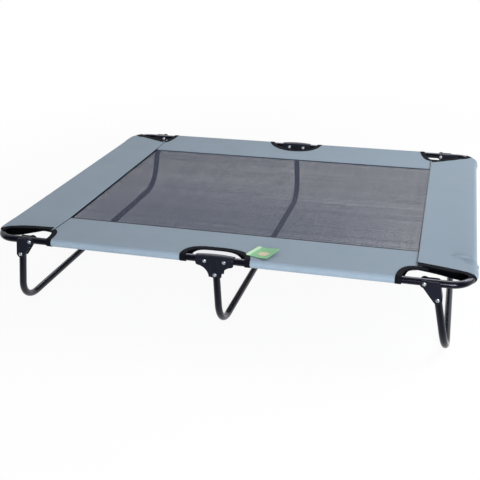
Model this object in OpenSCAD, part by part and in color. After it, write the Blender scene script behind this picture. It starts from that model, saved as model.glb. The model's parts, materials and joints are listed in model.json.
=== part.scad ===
// Folding raised dog cot: a tube frame hinged in the middle, two folding end legs,
// a centre leg and a sewn cover with a mesh window.
// Millimetres, +X along the cot, +Z up, origin on the floor under the cot's centre.

/* [Overall] */
// Length over the cover at the two ends
cot_l = 1100; // [900:10:1300]
// Width over the cover at the two long sides
cot_w = 800; // [600:10:1000]
// Height of the top of the sleeves above the floor
cot_h = 190; // [170:5:260]

/* [Tube] */
// Outer diameter of the rails and legs
tube_d = 16; // [14:0.5:18]
// Wall of the rails and legs
tube_wall = 1.2; // [0.8:0.1:2]
// Centreline radius of the frame's corner bends
corner_bend_r = 45; // [35:1:60]
// Centreline radius of the two bends in each leg
foot_bend_r = 60; // [40:1:80]

/* [End legs] */
// Distance from the end rail's axis to the leg's axis, at rail height
leg_inset = 72; // [64:1:90]
// Outward lean of the end legs, in degrees
leg_lean = 11; // [0:0.5:14]
// Distance along the rail from the leg's axis to its pivot rivet
pivot_reach = 22.5; // [20:0.5:30]
// Distance down the leg from the rail's axis to the fixed rivet
leg_rivet_drop = 35; // [30:1:45]

/* [Centre joint] */
// Distance between the two pivot rivets of a centre bracket
centre_pitch = 44; // [40:1:56]
// Length of rail beyond its pivot rivet
rail_tail = 5; // [4:0.5:6]
// Distance from the rail's axis down to the top of the centre leg
centre_leg_gap = 5; // [3:0.5:12]
// Distance from the rail's axis down to the centre leg's rivet
centre_rivet_drop = 31.5; // [28:0.5:45]

/* [Brackets] */
// Thickness of the pressed steel plate
plate_t = 1.5; // [1:0.1:2.5]
// Gap between a tube and the plates beside it
side_gap = 0.3; // [0.3:0.05:0.6]
// Radius of the ear round the end leg's pivot rivet
ear_r = 9; // [7:0.5:11]
// Height of the end bracket's top edge above the rail's axis
bracket_top = 7; // [6.5:0.5:9]
// Rounding of the end bracket's upper outer corner
bracket_corner_r = 6; // [3:0.5:6]
// Length of the centre bracket's saddle
saddle_l = 86; // [80:1:110]
// Outer radius of the saddle over the rails
saddle_r = 12.5; // [12:0.5:16]
// Gap between the pivot rivets' heads and the crease under the saddle
crease_gap = 0.3; // [0.2:0.1:0.5]
// Plate below the centre leg's rivet
bracket_tail = 7; // [6:0.5:10]
// Width of the centre bracket at its bottom
bracket_foot_w = 29; // [26:1:34]
// Radius of the centre bracket's hollow flanks
flank_r = 27.5; // [24:0.5:30]
// Width of the rib pressed over the centre leg
rib_w = 18; // [16:1:20]
// Height of that rib
rib_h = 1.2; // [0.6:0.1:2]

/* [Rivets] */
// Diameter of the rivets' shanks
rivet_d = 5; // [4:0.5:6]
// Diameter of the rivets' heads
rivet_head_d = 9; // [8:0.5:11]
// Height of the domed heads
rivet_head_h = 2; // [1:0.1:3]
// Running clearance round a shank
rivet_clearance = 0.05; // [0.03:0.01:0.08]

/* [Cover] */
// Thickness of the border fabric
fabric_t = 0.8; // [0.5:0.1:1.2]
// Gap between a rail and its sleeve
sleeve_gap = 0.5; // [0.5:0.1:1]
// Width of the side borders, from the rail's axis to the mesh
side_border = 131; // [110:1:150]
// Width of the end borders, from the rail's axis to the mesh
end_border = 118; // [100:1:150]
// Overlap sewn where the two layers of a border meet
hem_w = 10; // [6:1:16]
// Height of the mesh above the rail's axis
mesh_lift = 2; // [1.5:0.5:4]
// Thickness of the mesh
mesh_t = 0.8; // [0.5:0.1:1.2]
// Gap between the two halves of the cover at the fold
fold_gap = 3; // [3:0.5:6]
// Distance from the side rail's axis to the mouth of an end sleeve
mouth_setback = 25; // [25:1:40]

/* [Cut-outs] */
// Length of the cut-out round a centre bracket
centre_cut_l = 142; // [120:1:160]
// Depth of that cut-out, from the rail's axis
centre_cut_depth = 39; // [30:1:50]
// Length of the cut-out at a corner
corner_cut_l = 135; // [120:1:145]
// Depth of that cut-out, from the rail's axis
corner_cut_depth = 50; // [36:1:60]
// Distance from the end rail's axis to the middle of a corner cut-out
corner_cut_inset = 75; // [72:1:90]
// Fullness of the cut-outs' curve, where 2 is an ellipse
cut_power = 2.5; // [2:0.1:4]
// Width of the black binding tape
binding_w = 12; // [8:0.5:14]
// Thickness of the binding tape over the fabric
binding_t = 0.6; // [0.3:0.1:1]
// Width of the black edging of the mesh
edging_w = 3; // [2:0.5:6]

/* [Tag] */
// Width of the blank swing tag
tag_w = 48; // [30:1:60]
// Length of the blank swing tag
tag_l = 50; // [30:1:60]
// Thickness of the swing tag
tag_t = 0.4; // [0.3:0.1:0.8]
// Turn of the tag on the front border, in degrees
tag_turn = -10; // [-30:1:30]
// Distance along the cot from its middle to the tag's middle
tag_x = 97; // [80:1:200]
// Distance from the front rail's axis to the tag's middle
tag_in = 35; // [32:1:60]
// Gap between the tag and the binding that it lies on
tag_gap = 0.3; // [0.2:0.1:0.6]

/* [Hidden] */
$fn = 64;
black = [0.06, 0.06, 0.07];
zinc = [0.8, 0.81, 0.83];
border_blue = [0.56, 0.63, 0.68];
mesh_grey = [0.44, 0.45, 0.49];
tag_green = [0.3, 0.65, 0.38];

tube_r = tube_d / 2;
sleeve_r = tube_r + sleeve_gap;
cover_r = sleeve_r + fabric_t;
// Axes of the rails
rail_z = cot_h - cover_r;
rail_y = cot_w / 2 - cover_r;
end_x = cot_l / 2 - cover_r;
pivot_x = centre_pitch / 2;
// Half-widths across a bracket: inside its plates, and over them
plate_in = tube_r + side_gap;
plate_out = plate_in + plate_t;
bore_r = rivet_d / 2 + rivet_clearance;
// The end leg's axis: where it crosses the rail's height, and its length to the floor runner
leg_x = end_x - leg_inset;
leg_len = (rail_z - tube_r) / cos(leg_lean);
leg_axis = [sin(leg_lean), -cos(leg_lean)];
// The leg stops just under the rail, and so does the web beside it
leg_top = (tube_r + side_gap + tube_r * sin(leg_lean)) / cos(leg_lean);
web_top = (tube_r + side_gap + plate_out * sin(leg_lean)) / cos(leg_lean);
// Seam lines of the cover
seam_x = end_x - end_border;
seam_y = rail_y - side_border;
mouth_y = rail_y - mouth_setback;
// The crease under the saddle, above the rail's axis, clear of the rivets' heads
crease_h = rivet_head_d / 2 + crease_gap + plate_t;
// The centre bracket's bottom edge, below the rail's axis
bracket_bottom = centre_rivet_drop + bracket_tail;
corner_cut_x = end_x - corner_cut_inset;
// Slope of a side border's top sheet
border_slope = atan((cover_r - mesh_lift - fabric_t) / side_border);
// Flat sides end this far inside the circles that they touch, so that the outlines cross cleanly
tuck = 0.02;
cut_steps = 18;
cut_reach = 30;

// Each piece is drawn on the right, or at the back, and mirrored to the other side
module left() { mirror([1, 0, 0]) children(); }
module front() { mirror([0, 1, 0]) children(); }

// Tube pieces: a straight length along +Z, and a quarter bend from +X to +Y
module tube_section() {
    difference() {
        circle(r = tube_r);
        circle(r = tube_r - tube_wall);
    }
}
module straight(length) { linear_extrude(length) tube_section(); }
module bend(radius) { rotate_extrude(angle = 90) translate([radius, 0]) tube_section(); }

// A bore along Y for a rivet, at x and z, across both long sides
module rivet_bore(x, z) {
    translate([x, 0, z]) rotate([90, 0, 0]) cylinder(r = bore_r, h = 2 * cot_w, center = true);
}

// One half of the frame: two half side rails, two bends and an end rail
module frame_half() {
    color(black) difference() {
        translate([0, 0, rail_z]) {
            for (side = [0, 1]) mirror([0, side, 0]) {
                translate([pivot_x - rail_tail, rail_y, 0]) rotate([0, 90, 0])
                    straight(end_x - corner_bend_r - pivot_x + rail_tail);
                translate([end_x - corner_bend_r, rail_y - corner_bend_r, 0]) bend(corner_bend_r);
            }
            translate([end_x, corner_bend_r - rail_y, 0]) rotate([-90, 0, 0])
                straight(2 * (rail_y - corner_bend_r));
        }
        rivet_bore(pivot_x, rail_z);
        rivet_bore(leg_x - pivot_reach, rail_z);
    }
}

// A leg bent as a U: two uprights that start below z = 0 and a runner across the bottom
module leg_tube(top, length) {
    for (side = [0, 1]) mirror([0, side, 0]) {
        translate([0, rail_y, foot_bend_r - length]) straight(length - foot_bend_r - top);
        translate([0, rail_y - foot_bend_r, foot_bend_r - length]) rotate([0, 90, 0])
            bend(foot_bend_r);
    }
    translate([0, foot_bend_r - rail_y, -length]) rotate([-90, 0, 0])
        straight(2 * (rail_y - foot_bend_r));
}

module centre_leg() {
    color(black) difference() {
        translate([0, 0, rail_z]) leg_tube(centre_leg_gap, rail_z - tube_r);
        rivet_bore(0, rail_z - centre_rivet_drop);
    }
}

module end_leg() {
    color(black) difference() {
        translate([leg_x, 0, rail_z]) rotate([0, -leg_lean, 0]) leg_tube(leg_top, leg_len);
        rivet_bore(leg_x + leg_rivet_drop * leg_axis[0], rail_z + leg_rivet_drop * leg_axis[1]);
    }
}

// The rounded outline drawn round a list of circles, given anticlockwise
function outer_angle(a, ra, b, rb) =
    let (run = b - a) atan2(run[1], run[0]) - acos((ra - rb) / norm(run));
module rounded_outline(centres, radii) {
    last = len(centres) - 1;
    polygon([for (i = [0:last])
        let (j = (i + 1) % (last + 1),
             turn = outer_angle(centres[i], radii[i], centres[j], radii[j]),
             away = [cos(turn), sin(turn)])
        each [centres[i] + (radii[i] - tuck) * away, centres[j] + (radii[j] - tuck) * away]]);
    for (i = [0:last]) translate(centres[i]) circle(r = radii[i]);
}

// A flat shape in X and Z stood up as a plate beside the rail's axis
module cheek(inner, thickness) {
    translate([0, inner + thickness / 2, 0]) rotate([90, 0, 0])
        linear_extrude(thickness, center = true) children();
}

// The end bracket: two cheeks round the rail and the leg, and a web along the leg's outer side
module leg_bracket() {
    corner_z = bracket_top - bracket_corner_r;
    corner = [(plate_out - bracket_corner_r) / cos(leg_lean) - corner_z * tan(leg_lean), corner_z];
    pivot = [-pivot_reach, 0];
    foot = leg_rivet_drop * leg_axis;
    color(black) difference() {
        translate([leg_x, rail_y, rail_z]) {
            for (side = [0, 1]) mirror([0, side, 0]) cheek(plate_in, plate_t) {
                translate(pivot) circle(r = ear_r);
                rounded_outline([pivot, foot, corner], [bracket_top, plate_out, bracket_corner_r]);
            }
            rotate([0, -leg_lean, 0]) translate([plate_in, plate_t / 2 - plate_out, -leg_rivet_drop])
                cube([plate_t, 2 * plate_out - plate_t, leg_rivet_drop - web_top]);
        }
        rivet_bore(leg_x - pivot_reach, rail_z);
        rivet_bore(leg_x + foot[0], rail_z + foot[1]);
    }
}

// The cheek of the centre bracket, with hollow flanks down to a narrow foot
module centre_cheek() {
    difference() {
        translate([-saddle_l / 2, -bracket_bottom]) square([saddle_l, bracket_bottom + crease_h]);
        for (side = [-1, 1]) translate([side * (bracket_foot_w / 2 + flank_r), -bracket_bottom])
            circle(r = flank_r);
    }
}

// The centre bracket: a round saddle over the rails' ends, a crease, two cheeks and their ribs
module centre_bracket() {
    crease_out = sqrt(saddle_r * saddle_r - crease_h * crease_h);
    rib_top = crease_h - plate_t;
    color(black) difference() {
        translate([0, rail_y, rail_z]) {
            rotate([90, 0, 90]) linear_extrude(saddle_l, center = true) {
                intersection() {
                    difference() {
                        circle(r = saddle_r);
                        circle(r = saddle_r - plate_t);
                    }
                    translate([-saddle_r, crease_h]) square([2 * saddle_r, saddle_r]);
                }
                for (side = [0, 1]) mirror([side, 0])
                    translate([plate_in, crease_h - plate_t]) square([crease_out - plate_in, plate_t]);
            }
            for (side = [0, 1]) mirror([0, side, 0]) {
                cheek(plate_in, plate_t) centre_cheek();
                translate([0, 0, -bracket_bottom]) linear_extrude(bracket_bottom + rib_top)
                    polygon([[-rib_w / 2, plate_in + plate_t / 2], [rib_w / 2, plate_in + plate_t / 2],
                        [rib_w / 2, plate_out], [rib_w / 2 - 2 * rib_h, plate_out + rib_h],
                        [2 * rib_h - rib_w / 2, plate_out + rib_h], [-rib_w / 2, plate_out]]);
            }
        }
        for (x = [-pivot_x, pivot_x]) rivet_bore(x, rail_z);
        rivet_bore(0, rail_z - centre_rivet_drop);
    }
}

// A rivet along Y with two domed heads, through plates that are 2 * grip apart outside
module rivet(grip) {
    dome_r = (rivet_head_h * rivet_head_h + rivet_head_d * rivet_head_d / 4) / (2 * rivet_head_h);
    color(zinc) rotate([90, 0, 0]) {
        cylinder(d = rivet_d, h = 2 * grip, center = true);
        for (side = [0, 1]) mirror([0, 0, side]) translate([0, 0, grip]) rotate_extrude()
            intersection() {
                translate([0, rivet_head_h - dome_r]) circle(r = dome_r);
                square([rivet_head_d / 2, rivet_head_h]);
            }
    }
}
module rivet_pair(x, z, grip) {
    for (side = [-1, 1]) translate([x, side * rail_y, z]) rivet(grip);
}
module centre_pivot_rivets() { for (x = [-pivot_x, pivot_x]) rivet_pair(x, rail_z, plate_out); }
module centre_leg_rivets() { rivet_pair(0, rail_z - centre_rivet_drop, plate_out + rib_h); }
module leg_pivot_rivets() { rivet_pair(leg_x - pivot_reach, rail_z, plate_out); }
module leg_rivets() {
    rivet_pair(leg_x + leg_rivet_drop * leg_axis[0], rail_z + leg_rivet_drop * leg_axis[1], plate_out);
}

// Where a line from a point touches a circle round the origin; side is 1 or -1
function touch(p, r, side) =
    let (turn = atan2(p[1], p[0]) + side * acos(r / norm(p))) (r - tuck) * [cos(turn), sin(turn)];

// A border's section: a sleeve round the rail whose two sheets run in to one seam.
// The rail's axis is the origin, the seam is at -border, and grow thickens the outside.
module border_section(border, grow) {
    seam_t = fabric_t + grow;
    over = [-border, mesh_lift + seam_t];
    under = [-border, mesh_lift - seam_t];
    fold = [hem_w - border, mesh_lift];
    difference() {
        union() {
            circle(r = cover_r + grow);
            polygon([under, touch(under, cover_r + grow, 1), touch(over, cover_r + grow, -1), over]);
        }
        circle(r = sleeve_r);
        polygon([fold, touch(fold, sleeve_r, 1), touch(fold, sleeve_r, -1)]);
    }
}
module side_border_solid(grow) {
    translate([fold_gap / 2, rail_y, rail_z]) rotate([90, 0, 90])
        linear_extrude(seam_x - fold_gap / 2) border_section(side_border, grow);
}
module end_border_solid(grow) {
    translate([end_x, 0, rail_z]) rotate([90, 0, 0])
        linear_extrude(2 * mouth_y, center = true) border_section(end_border, grow);
}

// A cut-out seen from above: a full half oval inside the rail, open to the outside
function oval(turn, a, b) = [
    a * sign(cos(turn)) * pow(abs(cos(turn)), 2 / cut_power),
    b * sign(sin(turn)) * pow(abs(sin(turn)), 2 / cut_power)];
module cut_out(x, length, depth) {
    a = length / 2;
    translate([x, rail_y, rail_z - cut_reach]) linear_extrude(2 * cut_reach)
        polygon([for (i = [0:cut_steps]) oval(180 + 180 * i / cut_steps, a, depth),
            [a, cut_reach], [-a, cut_reach]]);
}
// The cut-outs at a corner and at the centre; wider adds the binding's width
module corner_cut(wider) {
    cut_out(corner_cut_x, corner_cut_l + 2 * wider, corner_cut_depth + wider);
}
module centre_cut(wider) {
    cut_out(0, centre_cut_l + 2 * wider, centre_cut_depth + wider);
}

module side_strip() {
    color(border_blue) difference() {
        side_border_solid(0);
        corner_cut(binding_w);
        centre_cut(binding_w);
    }
}
module end_panel() {
    color(border_blue) difference() {
        end_border_solid(0);
        corner_cut(binding_w);
        front() corner_cut(binding_w);
    }
}
module corner_binding() {
    color(black) intersection() {
        union() {
            side_border_solid(binding_t);
            end_border_solid(binding_t);
        }
        difference() {
            corner_cut(binding_w);
            corner_cut(0);
        }
    }
}
module centre_binding() {
    color(black) intersection() {
        side_border_solid(binding_t);
        difference() {
            centre_cut(binding_w);
            centre_cut(0);
        }
    }
}

// The mesh window, and the black edging flush with it along its three sewn edges
module mesh_sheet() {
    translate([0, 0, rail_z + mesh_lift - mesh_t / 2]) linear_extrude(mesh_t) children();
}
module window_outline(inset) {
    translate([fold_gap / 2, inset - seam_y])
        square([seam_x - fold_gap / 2 - inset, 2 * (seam_y - inset)]);
}
module mesh() { color(mesh_grey) mesh_sheet() window_outline(edging_w); }
module mesh_edging() {
    color(black) mesh_sheet() difference() {
        window_outline(0);
        window_outline(edging_w);
    }
}

// The blank card tag that lies on the front border, right of the middle
module swing_tag() {
    rise = cover_r - tag_in * tan(border_slope) + binding_t + tag_gap;
    color(tag_green) translate([tag_x, tag_in - rail_y, rail_z + rise])
        rotate([-border_slope, 0, 0]) rotate([0, 0, tag_turn])
            translate([-tag_w / 2, -tag_l / 2, 0]) cube([tag_w, tag_l, tag_t]);
}

centre_leg();
front() centre_bracket();  // centre_bracket_front
centre_bracket();  // centre_bracket_back
centre_pivot_rivets();
centre_leg_rivets();
left() frame_half();  // frame_tube_left
frame_half();  // frame_tube_right
left() end_leg();  // end_leg_left
end_leg();  // end_leg_right
front() left() leg_bracket();  // leg_bracket_front_left
front() leg_bracket();  // leg_bracket_front_right
left() leg_bracket();  // leg_bracket_back_left
leg_bracket();  // leg_bracket_back_right
left() leg_rivets();  // leg_rivets_left
leg_rivets();  // leg_rivets_right
left() leg_pivot_rivets();  // leg_pivot_rivets_left
leg_pivot_rivets();  // leg_pivot_rivets_right
left() end_panel();  // end_panel_left
end_panel();  // end_panel_right
front() left() side_strip();  // front_strip_left
front() side_strip();  // front_strip_right
left() side_strip();  // back_strip_left
side_strip();  // back_strip_right
left() mesh();  // mesh_left
mesh();  // mesh_right
left() mesh_edging();  // mesh_edging_left
mesh_edging();  // mesh_edging_right
front() left() corner_binding();  // corner_binding_front_left
front() corner_binding();  // corner_binding_front_right
left() corner_binding();  // corner_binding_back_left
corner_binding();  // corner_binding_back_right
front() left() centre_binding();  // centre_binding_front_left
front() centre_binding();  // centre_binding_front_right
left() centre_binding();  // centre_binding_back_left
centre_binding();  // centre_binding_back_right
swing_tag();
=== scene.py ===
# %% [markdown]
# # A folding dog cot, dressed over its CAD frame
# The CAD model holds every tube, bracket and rivet at its real size, and every joint.
# This lesson gives it its looks: paint on the steel, rounded pressings, a sewn cover with
# sleeves, hems and bindings, a see-through mesh and a printed card tag.
# The frame is loaded first, because every piece that follows is placed by it.

# %% Load the frame
import json
import math

import bmesh
import bpy
import numpy as np
from mathutils import Matrix, Vector

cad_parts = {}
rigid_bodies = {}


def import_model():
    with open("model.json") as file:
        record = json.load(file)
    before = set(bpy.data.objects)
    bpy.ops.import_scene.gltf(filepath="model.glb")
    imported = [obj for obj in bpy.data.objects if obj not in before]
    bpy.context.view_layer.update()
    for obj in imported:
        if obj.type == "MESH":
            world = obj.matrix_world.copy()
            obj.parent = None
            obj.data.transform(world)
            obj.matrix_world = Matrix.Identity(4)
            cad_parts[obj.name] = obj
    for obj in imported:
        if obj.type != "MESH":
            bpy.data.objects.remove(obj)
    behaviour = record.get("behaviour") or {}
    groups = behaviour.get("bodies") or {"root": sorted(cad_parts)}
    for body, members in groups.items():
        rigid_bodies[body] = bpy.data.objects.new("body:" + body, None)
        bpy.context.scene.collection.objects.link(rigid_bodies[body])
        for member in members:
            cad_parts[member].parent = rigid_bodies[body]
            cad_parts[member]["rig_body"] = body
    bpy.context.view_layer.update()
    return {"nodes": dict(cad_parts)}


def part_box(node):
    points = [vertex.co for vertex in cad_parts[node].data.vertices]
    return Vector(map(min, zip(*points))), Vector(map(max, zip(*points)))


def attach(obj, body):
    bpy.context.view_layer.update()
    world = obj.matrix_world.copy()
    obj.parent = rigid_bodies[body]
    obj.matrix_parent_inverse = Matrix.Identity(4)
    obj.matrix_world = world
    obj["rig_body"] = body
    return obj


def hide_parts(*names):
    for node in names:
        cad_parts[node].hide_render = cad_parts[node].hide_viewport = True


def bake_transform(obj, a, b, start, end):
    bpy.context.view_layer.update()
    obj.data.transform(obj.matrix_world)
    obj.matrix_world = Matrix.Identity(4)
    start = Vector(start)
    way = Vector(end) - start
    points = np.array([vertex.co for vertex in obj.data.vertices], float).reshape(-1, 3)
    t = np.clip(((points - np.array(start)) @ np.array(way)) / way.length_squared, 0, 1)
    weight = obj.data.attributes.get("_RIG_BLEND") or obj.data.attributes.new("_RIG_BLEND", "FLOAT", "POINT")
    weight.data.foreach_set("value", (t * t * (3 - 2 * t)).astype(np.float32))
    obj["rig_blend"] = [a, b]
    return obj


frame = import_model()

# %% [markdown]
# The cover hugs the tubes, so its sizes start from theirs. A node's box gives the rail's radius,
# the height of its axis and where the mesh begins, and the rest of the lesson uses those names.
# On the real cot the taut mesh draws its long seams a little outwards and dips a little under its hems.

# %% Sizes read off the frame
MM = 0.001
tube_low, tube_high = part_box("frame_tube_right")
TUBE_R = (tube_high.z - tube_low.z) / 2
RAIL_Z = (tube_high.z + tube_low.z) / 2
RAIL_Y = tube_high.y - TUBE_R
END_X = tube_high.x - TUBE_R
SEAM_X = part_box("end_panel_right")[0].x
SEAM_PULL = 5.5 * MM
SEAM_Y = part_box("mesh_edging_right")[1].y + SEAM_PULL
SIDE_BORDER = RAIL_Y - SEAM_Y
mesh_low, mesh_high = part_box("mesh_right")
MESH_DIP = 1.2 * MM
MESH_LIFT = (mesh_low.z + mesh_high.z) / 2 - RAIL_Z - MESH_DIP
BEND_R = 45 * MM
SIDES = {-1: "left", 1: "right"}
ENDS = {-1: "front", 1: "back"}
SEAM_OUT = {-1: -2.7 * MM, 1: 1.8 * MM}
SEAM_SLANT = {-1: 1.5 * MM, 1: -2.5 * MM}


def seam_x(side, y):
    """How far out the seam of an end panel lies at y: it was sewn a little askew."""
    return SEAM_X + SEAM_OUT[side] + SEAM_SLANT[side] * y / SEAM_Y


print("rail axis", round(RAIL_Y, 4), round(RAIL_Z, 4), "tube radius", round(TUBE_R, 4))

# %% [markdown]
# The camera stands in front of the cot, right of its middle, and looks down on it.
# Its place and angles were worked out from the rivets, feet and corners of the real cot,
# and its lens from the size of the picture. The optical axis lies right of the picture's
# middle, which a small shift of the lens gives.

# %% Camera
PICTURE = 480
FOCAL = 685.55
AXIS_U = 290.92
AXIS_V = 236.66
CAMERA_AT = Vector((0.47142, -1.62527, 0.87477))
YAW, PITCH, ROLL = -0.2404, -0.4544, -0.0112


def camera_turn(yaw, pitch, roll):
    """The camera's turn: its columns are right, up and back."""
    ahead = Vector((math.sin(yaw) * math.cos(pitch), math.cos(yaw) * math.cos(pitch), math.sin(pitch)))
    level = Vector((math.cos(yaw), -math.sin(yaw), 0))
    above = level.cross(ahead)
    right = level * math.cos(roll) + above * math.sin(roll)
    up = above * math.cos(roll) - level * math.sin(roll)
    return Matrix((right, up, -ahead)).transposed()


lens = bpy.data.cameras.new("camera")
lens.sensor_width = 36
lens.lens = lens.sensor_width * FOCAL / PICTURE
lens.shift_x = 0.5 - AXIS_U / PICTURE
lens.shift_y = AXIS_V / PICTURE - 0.5
camera = bpy.data.objects.new("camera", lens)
camera.matrix_world = Matrix.Translation(CAMERA_AT) @ camera_turn(YAW, PITCH, ROLL).to_4x4()
bpy.context.scene.collection.objects.link(camera)
bpy.context.scene.camera = camera
print("lens", round(lens.lens, 2), "shift", round(lens.shift_x, 4), round(lens.shift_y, 4))

# %% [markdown]
# A shader graph is a list of nodes and links. A few small helpers keep the materials short:
# one turns a colour as a designer writes it, an sRGB hex value, into the linear light that
# Blender computes with, and one adds a node with its settings and links in one line.


# %% Helpers for materials
def ink(code):
    """A linear colour from an sRGB hex code such as 93a5b2."""
    parts = [int(code[i:i + 2], 16) / 255 for i in (0, 2, 4)]
    linear = [p / 12.92 if p <= 0.04045 else ((p + 0.055) / 1.055) ** 2.4 for p in parts]
    return (*linear, 1.0)


def add(tree, kind, inputs=None, **settings):
    """Adds a node, sets its properties, and fills its inputs with values or links."""
    made = tree.nodes.new(kind)
    for name, value in settings.items():
        setattr(made, name, value)
    for name, value in (inputs or {}).items():
        if isinstance(value, bpy.types.NodeSocket):
            tree.links.new(value, made.inputs[name])
        else:
            made.inputs[name].default_value = value
    return made


def begin_material(name):
    """An empty material, its tree, and its coordinates node."""
    material = bpy.data.materials.new(name)
    material.use_nodes = True
    material.node_tree.nodes.clear()
    return material, material.node_tree, add(material.node_tree, "ShaderNodeTexCoord")


# %% [markdown]
# The scene stands on a white sweep. The floor's own colour is white, and what the camera and
# reflections see of it is mostly plain white light, with a share left near the cot for its shadow.
# Under the back half of the cot a blue-grey shade is painted on the floor: its glow is weaker and
# tinted there, so more real shadow shows as well, and this painted shade is seen through the mesh.
# A low soft lamp in front on the right gives the pale band along the front sleeve, a second one at
# the right end makes that end lighter, and the sky does the rest at a plain level. A long one over
# the far side is there for reflections alone: it draws the bright lines on the tubes. The room behind
# the camera is dark in reflections, which gives gloss paint its black middle and pale edges.

# %% Floor, sky and lamps
FLOOR_SIZE = 16
FLOOR_GLOW = 0.92
SHADOW_REACH = (0.8, 1.9)
SKY_LEVEL = 0.41
DARK_ROOM = 0.05
DARK_FROM = {"floor": (-0.62, -0.42), "sky": (-0.35, 0.0)}
# Where blue-grey shade is painted on the floor under the cot, how much the glow drops there, and its tint.
PAINTED_SHADE_AREA = {"X": (-0.8, -0.4, 0.0, 0.5), "Y": (-0.1, 0.1, 0.15, 0.55)}
UNDER_SHADE = 0.45
PAINTED_SHADE_TINT = "edf5ff"
LAMPS = {
    "key": {"at": (1.2, -3.0, 0.95), "size": (1.4, 1.4), "power": 106},
    "end": {"at": (1.7, 0.7, 1.5), "size": (1.2, 1.2), "power": 30},
    "strip": {"at": (0.0, 1.5, 2.1), "size": (3.0, 0.9), "power": 85},
}


def seen_directly(tree):
    """1 where a ray comes from the camera, a reflection or clear matter, else 0."""
    path = add(tree, "ShaderNodeLightPath")
    shown = add(tree, "ShaderNodeMath", {0: path.outputs["Is Camera Ray"], 1: path.outputs["Is Glossy Ray"]},
                operation="MAXIMUM")
    clear = add(tree, "ShaderNodeMath", {0: shown.outputs[0], 1: path.outputs["Is Transmission Ray"]},
                operation="MAXIMUM")
    return clear.outputs[0]


def room_level(tree, place, dark_from):
    """Level of the white studio at a place: full for the camera, dark for reflections of the near side."""
    path = add(tree, "ShaderNodeLightPath")
    parts = add(tree, "ShaderNodeSeparateXYZ", {"Vector": place})
    room = add(tree, "ShaderNodeMapRange", {"Value": parts.outputs["Y"], "From Min": dark_from[0],
                                            "From Max": dark_from[1], "To Min": DARK_ROOM, "To Max": 1.0})
    level = add(tree, "ShaderNodeMath", {0: room.outputs["Result"], 1: path.outputs["Is Camera Ray"]},
                operation="MAXIMUM")
    return level.outputs[0]


def painted_shade_under_cot(tree, spot):
    """Where shade is painted on the floor: 1 under the back half of the cot, fading to 0 round it."""
    parts = add(tree, "ShaderNodeSeparateXYZ", {"Vector": spot})
    whole = 1.0
    for axis, (rise_from, rise_to, fall_from, fall_to) in PAINTED_SHADE_AREA.items():
        for none, full in ((rise_from, rise_to), (fall_to, fall_from)):
            step = add(tree, "ShaderNodeMapRange", {"Value": parts.outputs[axis], "From Min": none,
                                                    "From Max": full}, interpolation_type="SMOOTHSTEP")
            whole = add(tree, "ShaderNodeMath", {0: step.outputs["Result"], 1: whole},
                        operation="MULTIPLY").outputs[0]
    return whole


def white_floor():
    material, tree, _ = begin_material("white_paper_sweep")
    spot = add(tree, "ShaderNodeNewGeometry").outputs["Position"]
    paper = add(tree, "ShaderNodeBsdfDiffuse", {"Color": ink("f4f4f4")})
    # The painted shade under the cot: there the glow is weaker and tinted blue-grey.
    shaded = painted_shade_under_cot(tree, spot)
    tint = add(tree, "ShaderNodeMix", {"Factor": shaded, "A": ink("ffffff"), "B": ink(PAINTED_SHADE_TINT)},
               data_type="RGBA")
    glow = add(tree, "ShaderNodeEmission", {"Color": tint.outputs["Result"],
                                            "Strength": room_level(tree, spot, DARK_FROM["floor"])})
    away = add(tree, "ShaderNodeVectorMath", {0: spot}, operation="LENGTH")
    share = add(tree, "ShaderNodeMapRange", {
        "Value": away.outputs["Value"], "From Min": SHADOW_REACH[0], "From Max": SHADOW_REACH[1],
        "To Min": FLOOR_GLOW, "To Max": 1.0})
    whole = add(tree, "ShaderNodeMath", {0: share.outputs["Result"], 1: seen_directly(tree)},
                operation="MULTIPLY").outputs[0]
    lit = add(tree, "ShaderNodeMapRange", {"Value": shaded, "To Min": 1.0, "To Max": 1.0 - UNDER_SHADE})
    glowing = add(tree, "ShaderNodeMath", {0: whole, 1: lit.outputs["Result"]}, operation="MULTIPLY")
    mix = add(tree, "ShaderNodeMixShader",
              {"Fac": glowing.outputs[0], 1: paper.outputs[0], 2: glow.outputs[0]})
    add(tree, "ShaderNodeOutputMaterial", {"Surface": mix.outputs[0]})
    return material


def white_sky():
    world = bpy.data.worlds.new("studio")
    bpy.context.scene.world = world
    world.use_nodes = True
    tree = world.node_tree
    tree.nodes.clear()
    lit = add(tree, "ShaderNodeBackground", {"Color": ink("fbfcff"), "Strength": SKY_LEVEL})
    towards = add(tree, "ShaderNodeTexCoord")
    level = room_level(tree, towards.outputs["Generated"], DARK_FROM["sky"])
    shown = add(tree, "ShaderNodeBackground", {"Color": ink("ffffff"), "Strength": level})
    mix = add(tree, "ShaderNodeMixShader",
              {"Fac": seen_directly(tree), 1: lit.outputs[0], 2: shown.outputs[0]})
    add(tree, "ShaderNodeOutputWorld", {"Surface": mix.outputs[0]})


def new_object(name, bm, *materials):
    """Writes a bmesh to a new object at the origin, with its materials."""
    mesh = bpy.data.meshes.new(name)
    bm.to_mesh(mesh)
    bm.free()
    made = bpy.data.objects.new(name, mesh)
    for material in materials:
        mesh.materials.append(material)
    bpy.context.scene.collection.objects.link(made)
    return made


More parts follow.
